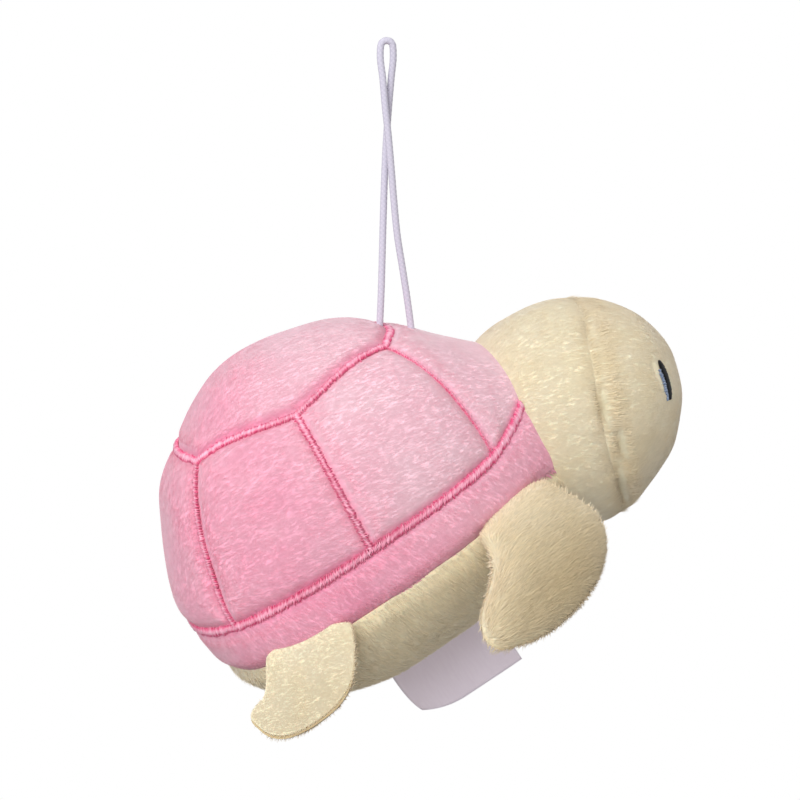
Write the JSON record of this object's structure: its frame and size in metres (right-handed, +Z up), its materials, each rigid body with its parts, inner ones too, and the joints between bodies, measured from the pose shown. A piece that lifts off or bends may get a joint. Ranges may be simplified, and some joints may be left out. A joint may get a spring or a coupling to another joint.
{
  "type": "plush turtle",
  "caption": "Small stuffed toy turtle with a quilted shell, a round head and flippers on sewn seams, hung from an elastic cord loop.",
  "frame": {"origin": "top of the hanging loop, at the middle of the cord", "axes": "+Z up as the turtle hangs, +X towards its nose, +Y to the turtle's left; the turtle hangs with its nose up"},
  "size_m": [0.1201, 0.1116, 0.1546],
  "materials": {
    "pink_plush": "short pink pile with a soft nap and a pale sheen",
    "cream_plush": "short cream pile with a streaky nap",
    "pink_thread": "satin stitch in deep pink embroidery thread",
    "black_thread": "satin stitch in black embroidery thread",
    "blue_thread": "satin stitch in pale grey-blue embroidery thread",
    "fibre_fill": "loose white polyester fibre",
    "white_elastic": "braided white elastic cord",
    "white_ribbon": "thin blank satin ribbon"
  },
  "bodies": {
    "root": {"carapace_cover": "pink_plush", "belly_cover": "cream_plush", "body_stuffing": "fibre_fill", "face_cover": "cream_plush", "head_back_cover": "cream_plush", "head_stuffing": "fibre_fill", "rim_embroidery": "pink_thread", "scute_embroidery": "pink_thread", "eye_left": "black_thread", "eye_glint_left": "blue_thread", "eye_right": "black_thread", "eye_glint_right": "blue_thread", "hanging_cord": "white_elastic", "cord_knot": "white_elastic"},
    "front_flipper_right": {"front_flipper_right_top_cover": "cream_plush", "front_flipper_right_under_cover": "cream_plush", "front_flipper_right_stuffing": "fibre_fill"},
    "front_flipper_left": {"front_flipper_left_top_cover": "cream_plush", "front_flipper_left_under_cover": "cream_plush", "front_flipper_left_stuffing": "fibre_fill"},
    "rear_flipper_right": {"rear_flipper_right_top_layer": "cream_plush", "rear_flipper_right_under_layer": "cream_plush"},
    "rear_flipper_left": {"rear_flipper_left_top_layer": "cream_plush", "rear_flipper_left_under_layer": "cream_plush"},
    "label": {"care_label": "white_ribbon"}
  },
  "joints": [
    {"name": "front_flipper_right_flap", "type": "hinge", "parent": "root", "child": "front_flipper_right", "pos_m": [0.02245, -0.03305, -0.1003], "axis": [-0.7403, -0.4756, -0.4752], "range_deg": [-10, 60], "stiffness_Nm_per_rad": 0.05},
    {"name": "front_flipper_left_flap", "type": "hinge", "parent": "root", "child": "front_flipper_left", "pos_m": [0.02245, 0.03305, -0.1003], "axis": [0.7403, -0.4756, 0.4752], "range_deg": [-10, 60], "stiffness_Nm_per_rad": 0.05},
    {"name": "rear_flipper_right_flap", "type": "hinge", "parent": "root", "child": "rear_flipper_right", "pos_m": [-0.02191, -0.03497, -0.12878], "axis": [-0.7859, 0.3576, -0.5045], "range_deg": [-10, 60], "stiffness_Nm_per_rad": 0.05},
    {"name": "rear_flipper_left_flap", "type": "hinge", "parent": "root", "child": "rear_flipper_left", "pos_m": [-0.02191, 0.03497, -0.12878], "axis": [0.7859, 0.3576, 0.5045], "range_deg": [-10, 60], "stiffness_Nm_per_rad": 0.05},
    {"name": "label_swing", "type": "hinge", "parent": "root", "child": "label", "pos_m": [0.01171, 0, -0.13625], "axis": [0.8415, 0, 0.5402], "range_deg": [-50, 50]}
  ]
}
